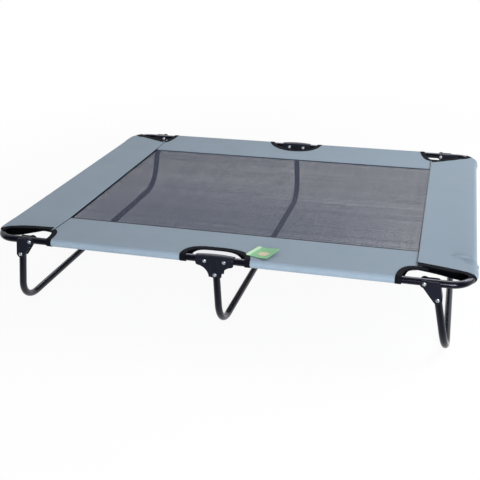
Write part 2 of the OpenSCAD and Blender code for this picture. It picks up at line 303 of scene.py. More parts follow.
bm = bmesh.new()
bmesh.ops.create_grid(bm, x_segments=2, y_segments=2, size=FLOOR_SIZE / 2)
floor = new_object("floor", bm, white_floor())
white_sky()
for name, lamp in LAMPS.items():
    light = bpy.data.lights.new(name, "AREA")
    light.shape = "RECTANGLE"
    light.size, light.size_y = lamp["size"]
    light.energy = lamp["power"]
    shine = bpy.data.objects.new(name, light)
    shine.location = lamp["at"]
    shine.rotation_mode = "QUATERNION"
    shine.rotation_quaternion = (Vector((0, 0, RAIL_Z)) - Vector(lamp["at"])).to_track_quat("-Z", "Y")
    shine.visible_diffuse = name != "strip"
    bpy.context.scene.collection.objects.link(shine)
bpy.context.scene.view_settings.view_transform = "Standard"
print("lamps", list(LAMPS))

# %% [markdown]
# The tubes are thin steel, powder-coated gloss black. Powder melts to a skin with a faint orange
# peel, so the gloss is broken a little by a soft bump about 3 mm across. The brackets are pressed
# steel in a satin black. The rivets are zinc-plated, a pale blue metal with fine wear.


# %% Paint and plating
def painted_steel(name, code, roughness, gloss, peel_mm, peel_depth_mm):
    """Powder-coated steel: a dark skin with orange peel, and dust that dulls it in places."""
    material, tree, place = begin_material(name)
    peel = add(tree, "ShaderNodeTexNoise", {"Vector": place.outputs["Object"], "Scale": 1 / (peel_mm * MM),
                                            "Detail": 1.0})
    dust = add(tree, "ShaderNodeTexNoise", {"Vector": place.outputs["Object"], "Scale": 1 / (60 * MM),
                                            "Detail": 4.0})
    dull = add(tree, "ShaderNodeMapRange", {"Value": dust.outputs["Fac"], "From Min": 0.3, "From Max": 0.7,
                                            "To Min": roughness - 0.05, "To Max": roughness + 0.07})
    bump = add(tree, "ShaderNodeBump", {"Height": peel.outputs["Fac"], "Strength": 0.35,
                                        "Distance": peel_depth_mm * MM})
    paint = add(tree, "ShaderNodeBsdfPrincipled", {
        "Base Color": ink(code), "Roughness": dull.outputs["Result"], "Specular IOR Level": gloss,
        "Specular Tint": ink("e2e4ff"), "Normal": bump.outputs["Normal"]})
    add(tree, "ShaderNodeOutputMaterial", {"Surface": paint.outputs[0]})
    return material


def zinc_plate():
    """Zinc-plated steel: bright and slightly blue, rubbed unevenly."""
    material, tree, place = begin_material("zinc_plated_steel")
    rub = add(tree, "ShaderNodeTexNoise", {"Vector": place.outputs["Object"], "Scale": 1 / (2 * MM),
                                           "Detail": 3.0})
    dull = add(tree, "ShaderNodeMapRange", {"Value": rub.outputs["Fac"], "To Min": 0.28, "To Max": 0.42})
    metal = add(tree, "ShaderNodeBsdfPrincipled", {
        "Base Color": ink("c3cad2"), "Metallic": 1.0, "Roughness": dull.outputs["Result"]})
    add(tree, "ShaderNodeOutputMaterial", {"Surface": metal.outputs[0]})
    return material


gloss_black = painted_steel("gloss_black_powder_coat", "0a0b12", 0.16, 0.34, 3, 0.02)
satin_black = painted_steel("satin_black_powder_coat", "14161f", 0.38, 0.2, 2, 0.03)
zinc = zinc_plate()
TUBE_NODES = ["frame_tube_left", "frame_tube_right", "end_leg_left", "end_leg_right", "centre_leg"]
for node in TUBE_NODES:
    tube = frame["nodes"][node]
    tube.data.materials.clear()
    tube.data.materials.append(gloss_black)
print("painted", len(TUBE_NODES), "tubes")

# %% [markdown]
# Each end bracket is a plate folded round the rail and the leg. The CAD solid has its outline and
# holes, with knife-sharp edges. A copy with its loose triangles merged takes a small bevel, the
# roundness that the press and the paint leave.


# %% End brackets
def stand_in(piece, slot, *nodes):
    """piece rides where the CAD nodes ride and stands for them, which are hidden. slot is not used."""
    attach(piece, frame["nodes"][nodes[0]]["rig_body"])
    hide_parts(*nodes)
    return piece


SHARP = math.radians(40)
MERGE = 0.002 * MM


def smooth_faces(piece):
    """Shades a piece smoothly, but for edges that are sharp by angle."""
    piece.data.shade_smooth()
    piece.data.set_sharp_from_angle(angle=SHARP)


def round_edges(piece, radius, sharp):
    """Rounds the edges that turn by more than the angle sharp."""
    bevel = piece.modifiers.new("edges", "BEVEL")
    bevel.width = radius
    bevel.segments = 2
    bevel.limit_method = "ANGLE"
    bevel.angle_limit = sharp
    return bevel


def thicken(piece, thickness):
    """Gives a sheet its thickness, half on each side."""
    thick = piece.modifiers.new("thickness", "SOLIDIFY")
    thick.thickness = thickness
    thick.offset = 0
    return thick


def rounded_copy(node, name, radius, material):
    """A merged copy of a CAD node with its edges rounded."""
    bm = bmesh.new()
    bm.from_mesh(frame["nodes"][node].data)
    bmesh.ops.remove_doubles(bm, verts=bm.verts, dist=MERGE)
    bmesh.ops.dissolve_limit(bm, angle_limit=math.radians(1), verts=bm.verts, edges=bm.edges)
    made = new_object(name, bm, material)
    for spare in [a.name for a in made.data.attributes if a.name == "custom_normal"]:
        made.data.attributes.remove(made.data.attributes[spare])
    for face in made.data.polygons:
        face.material_index = 0
    smooth_faces(made)
    round_edges(made, radius, SHARP).harden_normals = True
    return made


EDGE_R = 0.4 * MM
for side in SIDES.values():
    for end in ENDS.values():
        node = f"leg_bracket_{end}_{side}"
        stand_in(rounded_copy(node, f"pressed_{node}", EDGE_R, satin_black), "brackets", node)
print("end brackets rounded by", EDGE_R)

# %% [markdown]
# The centre bracket is one pressing: a crowned saddle over the ends of both rails, a crease, and two
# cheeks that narrow to the leg, with a rib pressed over the leg. A sheet with one row of points
# across the saddle for each place along it can follow all of that. A grid is bent into the sheet,
# and Solidify gives it the plate's thickness.

# %% Centre brackets
PLATE = 1.5 * MM
saddle_low, saddle_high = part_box("centre_bracket_back")
SADDLE_HALF = saddle_high.x
SADDLE_R = saddle_high.z - RAIL_Z - PLATE / 2
CHEEK_BOTTOM = saddle_low.z - RAIL_Z
CHEEK_Y = TUBE_R + 0.3 * MM + PLATE / 2
CROWN = 2.2 * MM
CREASE = 5.0 * MM
CREASE_FALL = 2.2 * MM
FOOT_HALF = 14.5 * MM
FLANK_R = 27.5 * MM
END_CORNER = 6 * MM
LEDGE = 1.2 * MM
RIB_HALF = 9.5 * MM
RIB_SIDE = 2.6 * MM
RIB_DOWN = 3 * MM
RIB_FADE = 5 * MM
RIB_H = 1.5 * MM
RIM = math.radians(60)


def ease(value):
    """0 below 0, 1 above 1, and a smooth step between."""
    value = min(1.0, max(0.0, value))
    return value * value * (3 - 2 * value)


def cheek_edge(u):
    """(x, up) on a cheek's lower edge, from the middle of its foot, 0, by a hollow flank to its end, 1."""
    corner_x = SADDLE_HALF - END_CORNER
    flank_turn = math.acos(1 - (corner_x - FOOT_HALF) / FLANK_R)
    flank_top = CHEEK_BOTTOM + FLANK_R * math.sin(flank_turn)
    length = u * (FOOT_HALF + FLANK_R * flank_turn + END_CORNER * math.pi / 2)
    if length <= FOOT_HALF:
        return length, CHEEK_BOTTOM
    turn = (length - FOOT_HALF) / FLANK_R
    if turn <= flank_turn:
        return FOOT_HALF + FLANK_R * (1 - math.cos(turn)), CHEEK_BOTTOM + FLANK_R * math.sin(turn)
    turn = (length - FOOT_HALF - FLANK_R * flank_turn) / END_CORNER
    return corner_x + END_CORNER * math.sin(turn), flank_top + END_CORNER * (1 - math.cos(turn))


def saddle_point(u, v):
    """(along, sideways, up) of the pressing: u from its middle to an end, v from its top to an edge."""
    x = SADDLE_HALF * u
    radius = SADDLE_R - CROWN * u * u
    crease = CREASE - CREASE_FALL * u * u
    top_part, ledge_part = 0.4, 0.55
    out = math.sqrt(radius ** 2 - crease ** 2)
    if v <= top_part:
        turn = math.atan2(out, crease) * v / top_part
        return x, radius * math.sin(turn), radius * math.cos(turn)
    if v <= ledge_part:
        step = (v - top_part) / (ledge_part - top_part)
        return x, out + (CHEEK_Y - out) * ease(step), crease - LEDGE * step
    step = (v - ledge_part) / (1 - ledge_part)
    edge_x, edge_up = cheek_edge(u)
    x += (edge_x - x) * step
    up = crease - LEDGE + (edge_up - crease + LEDGE) * step
    rib = ease((RIB_HALF - abs(x)) / RIB_SIDE) * ease((crease - RIB_DOWN - up) / RIB_FADE)
    return x, CHEEK_Y + RIB_H * rib, up


def centre_bracket(name, end):
    """The pressing over the rails' ends at the middle of one long side."""
    bm = bmesh.new()
    bmesh.ops.create_grid(bm, x_segments=80, y_segments=60, size=1)
    for vert in bm.verts:
        along, sideways, up = saddle_point(abs(vert.co.x), abs(vert.co.y))
        vert.co = (math.copysign(along, vert.co.x), end * RAIL_Y + math.copysign(sideways, vert.co.y),
                   RAIL_Z + up)
    face_up(bm)
    made = new_object(name, bm, satin_black)
    made.data.shade_smooth()
    thicken(made, PLATE)
    round_edges(made, EDGE_R, RIM)
    return made


def face_up(bm):
    """Turns all faces over if the highest one looks down."""
    bm.normal_update()
    highest = max(bm.faces, key=lambda face: face.calc_center_median().z)
    if highest.normal.z < 0:
        bmesh.ops.reverse_faces(bm, faces=bm.faces)


for end, word in ENDS.items():
    stand_in(centre_bracket(f"saddle_bracket_{word}", end), "brackets", f"centre_bracket_{word}")
print("saddle", round(2 * SADDLE_HALF, 4), "long")

# %% [markdown]
# The rivets are semi-tubular: a domed head whose middle keeps the dimple of the setting tool.
# Half of the rivet's outline, drawn once and spun about its axis, makes the whole rivet.

# %% Rivets
RIVET_R = 2.5 * MM
HEAD_R = 4.5 * MM
HEAD_H = 2.0 * MM
DIMPLE_R = 2.1 * MM
DIMPLE_DEPTH = 1.7 * MM
DIMPLE_SHAPE = [(0.0, 1.0), (0.55, 0.85), (0.85, 0.25)]


def rivet_outline(grip):
    """(radius, height) from the dimple's bottom, over the dome and down to the middle of the shank."""
    dome = [(DIMPLE_R + (HEAD_R - DIMPLE_R) * math.sin(a), HEAD_H * math.cos(a) ** 0.9)
            for a in (math.pi / 2 * i / 7 for i in range(8))]
    cup = [(DIMPLE_R * out, HEAD_H - DIMPLE_DEPTH * down) for out, down in DIMPLE_SHAPE]
    return [(r, grip + h) for r, h in cup + dome] + [(RIVET_R, grip), (RIVET_R, 0.0)]


def rivets(node, grip):
    """One object with a rivet along Y at each place where a CAD node has one."""
    bm = bmesh.new()
    half = rivet_outline(grip)
    line = half + [(r, -h) for r, h in reversed(half[:-1])]
    for place in rivet_places(node):
        verts = [bm.verts.new(place + Vector((r, h, 0))) for r, h in line]
        edges = [bm.edges.new(pair) for pair in zip(verts, verts[1:])]
        bmesh.ops.spin(bm, geom=verts + edges, cent=place, axis=(0, 1, 0), angle=2 * math.pi, steps=28,
                       use_merge=True)
    bmesh.ops.remove_doubles(bm, verts=bm.verts, dist=0.005 * MM)
    bmesh.ops.recalc_face_normals(bm, faces=bm.faces)
    made = new_object(f"set_{node}", bm, zinc)
    smooth_faces(made)
    return stand_in(made, "rivets", node)


def rivet_places(node):
    """The middles of a CAD node's rivets, one for each group of joined triangles."""
    bm = bmesh.new()
    bm.from_mesh(frame["nodes"][node].data)
    bmesh.ops.remove_doubles(bm, verts=bm.verts, dist=MERGE)
    todo = set(bm.verts)
    places = []
    while todo:
        queue = [todo.pop()]
        group = list(queue)
        while queue:
            vert = queue.pop()
            near = {edge.other_vert(vert) for edge in vert.link_edges} & todo
            todo -= near
            queue += near
            group += near
        low = Vector([min(v.co[i] for v in group) for i in range(3)])
        high = Vector([max(v.co[i] for v in group) for i in range(3)])
        places.append((low + high) / 2)
    bm.free()
    return places


PLATE_OUT = CHEEK_Y + PLATE / 2
rivet_nodes = {"centre_pivot_rivets": PLATE_OUT, "centre_leg_rivets": PLATE_OUT + RIB_H}
for side in SIDES.values():
    rivet_nodes[f"leg_rivets_{side}"] = PLATE_OUT
    rivet_nodes[f"leg_pivot_rivets_{side}"] = PLATE_OUT
for node, grip in rivet_nodes.items():
    rivets(node, grip)
print("rivet groups", len(rivet_nodes))

# %% [markdown]
# The border is a coated polyester oxford cloth: a plain weave with a soft sheen, dyed blue-grey.
# The inside face of the cloth is near black, which keeps the inside of the sleeves dark. The yarns lie
# about 0.7 mm apart, too fine for the picture, so the weave is drawn at 1.5 mm. It follows the cloth's own
# flat coordinates, in metres.
# The mesh is made of coated yarn, whose tone varies a little along its length.
# A wave texture of scale WAVE / pitch repeats once a pitch.


# %% Cloth materials
WAVE = math.pi / 10


def oxford_cloth():
    """Blue-grey oxford: plain weave, soft sheen, faint uneven dye."""
    material, tree, place = begin_material("blue_grey_oxford_cloth")
    yarns = [add(tree, "ShaderNodeTexWave", {"Vector": place.outputs["UV"], "Scale": WAVE / (1.5 * MM)},
                 wave_type="BANDS", bands_direction=way, wave_profile="SIN").outputs["Fac"] for way in "XY"]
    weave = add(tree, "ShaderNodeMath", dict(enumerate(yarns)), operation="MAXIMUM").outputs[0]
    dye = add(tree, "ShaderNodeTexNoise", {"Vector": place.outputs["Object"], "Scale": 1 / (90 * MM),
                                           "Detail": 5.0, "Roughness": 0.6})
    tone = add(tree, "ShaderNodeMix", {"Factor": dye.outputs["Fac"], "A": ink("7c8f9c"), "B": ink("8896a6")},
               data_type="RGBA")
    shaded = add(tree, "ShaderNodeMapRange", {"Value": weave, "To Min": 0.86, "To Max": 1.04})
    cloth_colour = add(tree, "ShaderNodeMix", {"Factor": 1.0, "A": tone.outputs["Result"],
                                               "B": shaded.outputs["Result"]},
                       data_type="RGBA", blend_type="MULTIPLY")
    bump = add(tree, "ShaderNodeBump", {"Height": weave, "Strength": 0.3, "Distance": 0.15 * MM})
    cloth = add(tree, "ShaderNodeBsdfPrincipled", {
        "Base Color": cloth_colour.outputs["Result"], "Roughness": 0.72, "Specular IOR Level": 0.14,
        "Sheen Weight": 0.17, "Sheen Roughness": 0.4, "Normal": bump.outputs["Normal"]})
    add(tree, "ShaderNodeOutputMaterial", {"Surface": cloth.outputs[0]})
    return material


def dark_inside_face():
    """The inside face of the cloth: near black, matt and slightly creased, which keeps the inside of the
    sleeves dark.
    """
    material, tree, place = begin_material("near_black_cloth_inside")
    crease = add(tree, "ShaderNodeTexNoise", {"Vector": place.outputs["Object"], "Scale": 1 / (12 * MM),
                                              "Detail": 3.0})
    bump = add(tree, "ShaderNodeBump", {"Height": crease.outputs["Fac"], "Strength": 0.2,
                                        "Distance": 0.3 * MM})
    coat = add(tree, "ShaderNodeBsdfPrincipled", {
        "Base Color": ink("121317"), "Roughness": 0.7, "Specular IOR Level": 0.2,
        "Normal": bump.outputs["Normal"]})
    add(tree, "ShaderNodeOutputMaterial", {"Surface": coat.outputs[0]})
    return material


def coated_yarn():
    """Grey coated yarn, lighter and darker in flecks."""
    material, tree, place = begin_material("grey_coated_yarn")
    fleck = add(tree, "ShaderNodeTexNoise", {"Vector": place.outputs["UV"], "Scale": 1 / (4 * MM),
                                             "Detail": 2.0})
    clear = add(tree, "ShaderNodeMapRange", {"Value": fleck.outputs["Fac"], "From Min": 0.4, "From Max": 0.6})
    tone = add(tree, "ShaderNodeMix", {"Factor": clear.outputs["Result"], "A": ink("1e222d"),
                                       "B": ink("50566d")}, data_type="RGBA")
    yarn = add(tree, "ShaderNodeBsdfPrincipled", {
        "Base Color": tone.outputs["Result"], "Roughness": 0.6, "Specular IOR Level": 0.05})
    add(tree, "ShaderNodeOutputMaterial", {"Surface": yarn.outputs[0]})
    return material


def ribbed_tape():
    """Black woven binding tape: fine ribs across it, matt with a dull shine on the ribs."""
    material, tree, place = begin_material("black_ribbed_binding_tape")
    ribs = add(tree, "ShaderNodeTexWave", {"Vector": place.outputs["UV"], "Scale": WAVE / (1.6 * MM)},
               wave_type="BANDS", bands_direction="X", wave_profile="SIN")
    tone = add(tree, "ShaderNodeMix", {"Factor": ribs.outputs["Fac"], "A": ink("08090e"), "B": ink("12141c")},
               data_type="RGBA")
    bump = add(tree, "ShaderNodeBump", {"Height": ribs.outputs["Fac"], "Strength": 0.4, "Distance": 0.2 * MM})
    tape = add(tree, "ShaderNodeBsdfPrincipled", {
        "Base Color": tone.outputs["Result"], "Roughness": 0.75, "Specular IOR Level": 0.04,
        "Normal": bump.outputs["Normal"]})
    add(tree, "ShaderNodeOutputMaterial", {"Surface": tape.outputs[0]})
    return material


oxford = oxford_cloth()
inside_face = dark_inside_face()
mesh_yarn = coated_yarn()
tape_cloth = ribbed_tape()
print("cloth materials ready")

# %% [markdown]
# A border is one strip of cloth folded round its rail: its two edges come together at the mesh,
# turned under and sewn. So its section is a teardrop. The function below walks along that
# section: t is 0 at the outermost line of the sleeve, 1 at the upper seam and -1 at the lower,
# and past 1 the cloth turns under in a small fold. lift moves the point off the cloth, outwards.

# %% The section of a border
CLOTH = 0.8 * MM
COVER_R = TUBE_R + 0.5 * MM + CLOTH / 2
HEM_R = 0.6 * MM
HEM_BACK = 5 * MM
HEM = math.pi * HEM_R + HEM_BACK
SHEET_GAP = 0.9 * MM
TOP_END = MESH_LIFT + SHEET_GAP + 2 * HEM_R
BOTTOM_END = MESH_LIFT - SHEET_GAP - 2 * HEM_R
SAG = 0.7 * MM


def section_shape(border, end):
    """Slope of a sheet, length of cloth round the rail, and length of the straight run to the seam."""
    slope = math.atan2(COVER_R - end, border)
    return slope, COVER_R * (math.pi / 2 + slope), (border - COVER_R * math.sin(slope)) / math.cos(slope)


def half_width(border, end):
    """Length of cloth from the outermost line to the seam."""
    _, wrap, run = section_shape(border, end)
    return wrap + run


def pocket(t, border, top, bottom, lift=0.0):
    """(inward from the rail's axis, up from it) of a border's cloth at t."""
    side = 1 if t >= 0 else -1
    slope, wrap, run_all = section_shape(border, top if side > 0 else -bottom)
    length = abs(t) * (wrap + run_all)
    if length <= wrap:
        turn = length / COVER_R
        reach = COVER_R + lift
        return -reach * math.cos(turn), side * reach * math.sin(turn)
    run = min(length - wrap, run_all)
    along = Vector((math.cos(slope), -math.sin(slope)))
    out = Vector((math.sin(slope), math.cos(slope)))
    point = COVER_R * out + run * along
    point.y -= side * SAG * math.sin(math.pi * run / run_all)
    over = length - wrap - run_all
    if over > 0:
        curl = min(over / HEM_R, math.pi)
        turned = out * math.cos(curl) + along * math.sin(curl)
        point += HEM_R * (turned - out)
        point -= along * max(0.0, over - math.pi * HEM_R)
        out = turned
    point += lift * out
    return point.x, side * point.y


STRIP_HALF = half_width(SIDE_BORDER, TOP_END)
print("half width of a side border", round(STRIP_HALF, 4))

# %% [markdown]
# The cloth is cut before it is sewn: an oval at the middle of each long side, for the centre
# bracket, and a quarter oval at each corner, for the end bracket. The end panels stop at mouths that
# slant in from the rail. No two corners of a sewn cover are the same, so each has its own sizes.

# %% Cut-outs
CORNERS = {
    (-1, -1): {"centre": (68 * MM, 46.5 * MM, 4.0), "cut": (19 * MM, 56 * MM, 2.0),
               "upper": (376 * MM, 347 * MM, 1.0, 4.0), "lower": (376 * MM, 318 * MM, 1.2, 1.0)},
    (1, -1): {"centre": (68 * MM, 46.5 * MM, 2.6), "cut": (24 * MM, 53.5 * MM, 2.3),
              "upper": (374 * MM, 337 * MM, 0.5, 1.0), "lower": (374 * MM, 346 * MM, 1.0, 3.0)},
    (-1, 1): {"centre": (75 * MM, 66 * MM, 1.8), "cut": (14 * MM, 66 * MM, 1.6),
              "upper": (383 * MM, 331 * MM, 1.0, 1.0), "lower": (383 * MM, 331 * MM, 1.0, 1.0)},
    (1, 1): {"centre": (68 * MM, 66 * MM, 2.5), "cut": (27 * MM, 70 * MM, 1.8),
             "upper": (384 * MM, 319 * MM, 1.0, 1.2), "lower": (384 * MM, 319 * MM, 1.0, 1.2)},
}
UNDERLAP = 28 * MM
UNDERLAP_STEP = 1 * MM


def strip_start(sigma, centre):
    """Where a side strip begins along the rail, sigma metres of cloth from its outermost line."""
    half, deep, power = centre
    share = min(1.0, abs(sigma) / deep)
    return half * (1 - share ** power) ** (1 / power)


def strip_stop(sigma, cut):
    """Where a side strip ends along the rail, under the end panel."""
    wide, deep, power = cut
    share = min(1.0, abs(sigma) / deep)
    tucked = UNDERLAP * ease((abs(sigma) - deep) / UNDERLAP_STEP)
    return SEAM_X + tucked - wide * (1 - share ** power) ** (1 / power)


def mouth(t, n, border, corner):
    """Distance from the middle of the cot to an end panel's mouth, at n metres in from its rail."""
    tube, seam, early, late = corner["upper" if t >= 0 else "lower"]
    share = min(1.0, max(0.0, n / border))
    return tube - (tube - seam) * (1 - (1 - share ** early) ** late)


print("corner cut-outs", len(CORNERS))

# %% [markdown]
# Two functions place the cloth in space. A strip runs straight along its rail, and its lower layer
# rises to the upper one at the end panel and round the centre cut-out, where one tape binds both.
# An end panel follows its rail round the bends, its sleeve flares at the mouths, and its inner edge
# lies on the strips. Cloth under tension is never quite flat, so soft creases start at the corners.

# %% Where the cloth lies
CREASES = [
    ((494, -275), (550, -292), 7.5, 3.2),
    ((520, -299), (556, -319), 5, 3.2),
    ((-76, -338), (-62, -331), 0.5, 3),
    ((-391, -337), (-380, -328), 0.5, 3),
    ((440, 332), (505, 318), 0.5, 7),
    ((-500, -318), (-470, -250), 0.5, 12),
]
PINCH = 40 * MM
HOLE_PINCH = 60 * MM
EDGING_T = 0.5 * MM
LAP = 2 * HEM_R + CLOTH + EDGING_T + 0.1 * MM
LAP_RAMP = 16 * MM
FLARE = 3 * MM
FLARE_FROM = 285 * MM
FLARE_RUN = 45 * MM
LAYERS_APART = 1.5 * MM
CLOSE_FROM, CLOSE_RUN = 10 * MM, 24 * MM
BEND_SHARE = 0.96
CREASE_REACH, CREASE_TROUGH = 3, 0.8


def crease_height(x, y):
    """Height of the cloth's creases at a place seen from above."""
    total = 0.0
    for start, stop, height, width in CREASES:
        a, b = Vector(start) * MM, Vector(stop) * MM
        run = b - a
        share = (Vector((x, y)) - a).dot(run) / run.length_squared
        away = abs((Vector((x, y)) - a).cross(run)) / run.length / (width * MM)
        if 0 < share < 1 and away < CREASE_REACH:
            ridge = math.exp(-away ** 2) * (1 - CREASE_TROUGH * away ** 2)
            total += height * MM * math.sin(math.pi * share) * ridge
    return total


def strip_top(n):
    """Height of a strip's upper layer over the rail's axis, n metres in."""
    return COVER_R + (TOP_END - COVER_R) * n / SIDE_BORDER


def strip_point(x, t, sides, lift=0.0):
    """A point of a side strip, on the side of the cot that sides names."""
    n, z = pocket(t, SIDE_BORDER, TOP_END, BOTTOM_END, lift)
    if t < 0:
        half, deep, power = CORNERS[sides]["centre"]
        sigma = -t * STRIP_HALF
        past = deep * (((abs(x) / half) ** power + (sigma / deep) ** power) ** (1 / power) - 1)
        squeeze = max(ease((x - SEAM_X + PINCH) / PINCH), ease(1 - past / HOLE_PINCH))
        closing = squeeze * ease((n - CLOSE_FROM) / CLOSE_RUN)
        z += (strip_top(n) - LAYERS_APART - lift - z) * closing
    else:
        z += crease_height(sides[0] * x, sides[1] * (RAIL_Y - n))
    return Vector((sides[0] * x, sides[1] * (RAIL_Y - n), RAIL_Z + z))


def bend_turn(y):
    """How far the end rail has turned at y, in radians: 0 on its straight, more in the bend."""
    past = min(BEND_SHARE * BEND_R, max(0.0, abs(y) - (RAIL_Y - BEND_R)))
    return math.asin(past / BEND_R)


def panel_ends(y):
    """Heights of an end panel's upper and lower seams at y: they rise where the panel lies on a strip."""
    past = abs(y) - SEAM_Y
    rise = (COVER_R - TOP_END) / SIDE_BORDER * (math.hypot(past, LAP_RAMP) + past) / 2
    return TOP_END + LAP + rise, BOTTOM_END + rise


def panel_point(y, t, side, lift=0.0):
    """A point of an end panel; side is -1 on the left and 1 on the right."""
    turn = bend_turn(y)
    axis = END_X - BEND_R * (1 - math.cos(turn))
    border = axis - seam_x(side, y)
    top, bottom = panel_ends(y)
    n, z = pocket(t, border, top, bottom, lift)
    if t > 0:
        n, z = pocket(t, border, top, bottom, lift + crease_height(side * (axis - n), y))
    if n < 0:
        n *= 1 + FLARE / COVER_R * ease((abs(y) - FLARE_FROM) / FLARE_RUN)
    facing = turn * ease((BEND_R - n) / (BEND_R - COVER_R))
    x = side * (axis - n * math.cos(facing))
    return Vector((x, y - math.copysign(n * math.sin(facing), y), RAIL_Z + z))


print("creases", len(CREASES))

# %% [markdown]
# Each piece of cloth is a grid whose rows are lines of the section and whose columns run along the
# rail. A row starts and stops at the cut-outs, so their curves are exact and need no cutting later.
# The flat place of every point is kept as its UV, which the weave follows, and gives the flat area
# that the sheet was cut to. Solidify makes the thickness, with a near-black face on the inside.


# %% Cloth grids
def cloth_grid(name, columns, rows, place, flat, materials, thickness):
    """A grid of columns by rows bent by place(u, row), with flat(u, row) as its UV in metres."""
    bm = bmesh.new()
    bmesh.ops.create_grid(bm, x_segments=columns, y_segments=len(rows) - 1, size=0.5)
    uv = bm.loops.layers.uv.new("flat")
    spots = {}
    for vert in bm.verts:
        spots[vert] = (vert.co.x + 0.5, rows[round((vert.co.y + 0.5) * (len(rows) - 1))])
    area = 0.0
    for face in bm.faces:
        ring = [Vector(flat(*spots[loop.vert])) for loop in face.loops]
        for loop, point in zip(face.loops, ring):
            loop[uv].uv = point
        area += abs(sum(a.cross(b) for a, b in zip(ring, ring[1:] + ring[:1]))) / 2
    for vert in bm.verts:
        vert.co = place(*spots[vert])
    for edge in bm.edges:
        edge.smooth = not edge.is_boundary
    face_up(bm)
    for face in bm.faces:
        face.smooth = True
    made = new_object(name, bm, *materials)
    thicken(made, thickness).material_offset = len(materials) - 1
    made["flat_area"] = area
    return made


def cloth_rows(*turning_points, run=22):
    """Values of t over a whole section, close together round the rail, at the ovals and in the hems."""
    width = STRIP_HALF
    hem = HEM / width
    values = [0.0]
    for deep in turning_points:
        values.append((deep + UNDERLAP_STEP) / width)
        values += [deep / width * math.sin(math.pi / 2 * i / 26) ** 0.7 for i in range(27)]
    last = max(values)
    values += [last + (1 - last) * i / run for i in range(1, run + 1)]
    values += [1 + hem * i / 9 * (0.6 if i < 6 else 1) for i in range(1, 10)]
    upper = sorted(values)
    upper = [b for a, b in zip([-1] + upper, upper) if b - a > 0.15 * MM / width]
    return [-t for t in reversed(upper[1:])] + upper


BLEND_FROM = 45 * MM
COLUMNS = 84
CLOSER_AT_FOLD = 1.5


def fold_at_middle(piece, side):
    """The cloth bends with the centre bracket near the fold, and with its own half beyond it."""
    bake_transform(piece, f"{SIDES[side]}_half", "centre", start=(side * BLEND_FROM, 0, RAIL_Z),
             end=(0, 0, RAIL_Z))


def folding_stand_in(piece, side, node):
    """As stand_in, for a piece that bends at the fold."""
    fold_at_middle(piece, side)
    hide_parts(node)


def side_strip(side, end):
    cut = CORNERS[side, end]["cut"]
    width = STRIP_HALF

    def along(u, t):
        sigma = min(1.0, abs(t)) * width
        first = strip_start(sigma, CORNERS[side, end]["centre"])
        return first + (strip_stop(sigma, cut) - first) * u ** CLOSER_AT_FOLD

    rows = cloth_rows(CORNERS[side, end]["centre"][1], cut[1])
    strip = cloth_grid(f"oxford_{ENDS[end]}_strip_{SIDES[side]}", COLUMNS, rows,
                       lambda u, t: strip_point(along(u, t), t, (side, end)),
                       lambda u, t: (along(u, t), t * width), [oxford, inside_face], CLOTH)
    folding_stand_in(strip, side, f"{ENDS[end]}_strip_{SIDES[side]}")
    return strip


def end_panel(side):
    border = END_X - SEAM_X
    width = half_width(border, TOP_END)

    def across(u, t):
        flat_t = max(-1.0, min(1.0, t))
        n, _ = pocket(flat_t, border, TOP_END, BOTTOM_END)
        front = -mouth(flat_t, n, border, CORNERS[side, -1])
        back = mouth(flat_t, n, border, CORNERS[side, 1])
        return front + (back - front) * (u - 0.1 * math.sin(2 * math.pi * u))

    panel = cloth_grid(f"oxford_end_panel_{SIDES[side]}", 230, cloth_rows(40 * MM, run=48),
                       lambda u, t: panel_point(across(u, t), t, side),
                       lambda u, t: (across(u, t) + 0.5, t * width), [oxford, inside_face], CLOTH)
    stand_in(panel, "border", f"end_panel_{SIDES[side]}")
    longest = max(CORNERS[side, -1]["upper"][0], CORNERS[side, -1]["lower"][0]) + CORNERS[side, 1]["upper"][0]
    return panel


for side in SIDES:
    for end in ENDS:
        print(side_strip(side, end).name)
    print(end_panel(side).name)

# %% [markdown]
# Every cut edge is bound with black tape folded over it. The tape is a second grid: its columns
# follow the cut edge, and its rows go over the outside, round the edge and back along the inside.


# %% Bindings
TAPE_W = 12 * MM
TAPE_T = 0.5 * MM
TAPE_H = CLOTH / 2 + TAPE_T / 2 + 0.15 * MM
TUCKED_PART = 0.14
TAPE_RUN = 0.35


def tape_rows():
    """(distance in from the cut edge, height off the cloth) across the tape, over the fold."""
    face = [TAPE_W * (1 - i / 6) for i in range(7)]
    fold = [(-TAPE_H * math.cos(a), TAPE_H * math.sin(a)) for a in np.linspace(-1.2, 1.2, 7)]
    return [(w, -TAPE_H) for w in face] + fold + [(w, TAPE_H) for w in reversed(face)]


def bound_edge(name, edge, inside, place, columns):
    """A binding along edge(q), a curve in flat coordinates, set on the cloth by place(along, sigma, lift).
    inside is 1 or -1, the way along in which the cloth lies from the edge."""
    step = 1e-4
    rows = tape_rows()
    turn = inside * math.copysign(1, edge(0.5 + step)[1] - edge(0.5 - step)[1])

    def flat(q, row):
        here = Vector(edge(q))
        run = Vector(edge(min(1.0, q + step))) - Vector(edge(max(0.0, q - step)))
        inward = turn * Vector((run.y, -run.x)).normalized()
        return here + inward * row[0]

    def spot(q, row):
        point = flat(q, row)
        return place(point.x, point.y, row[1])

    return cloth_grid(name, columns, rows, spot, lambda q, row: (q * TAPE_RUN, row[0] + row[1]),
                      [tape_cloth], TAPE_T)


def oval(q, power):
    """Cosine and sine round half an oval, from its top at 0 to its bottom at 1."""
    c, s = math.cos(math.pi * (0.5 - q)), math.sin(math.pi * (0.5 - q))
    reach = (abs(c) ** power + abs(s) ** power) ** (-1 / power)
    return reach * c, reach * s


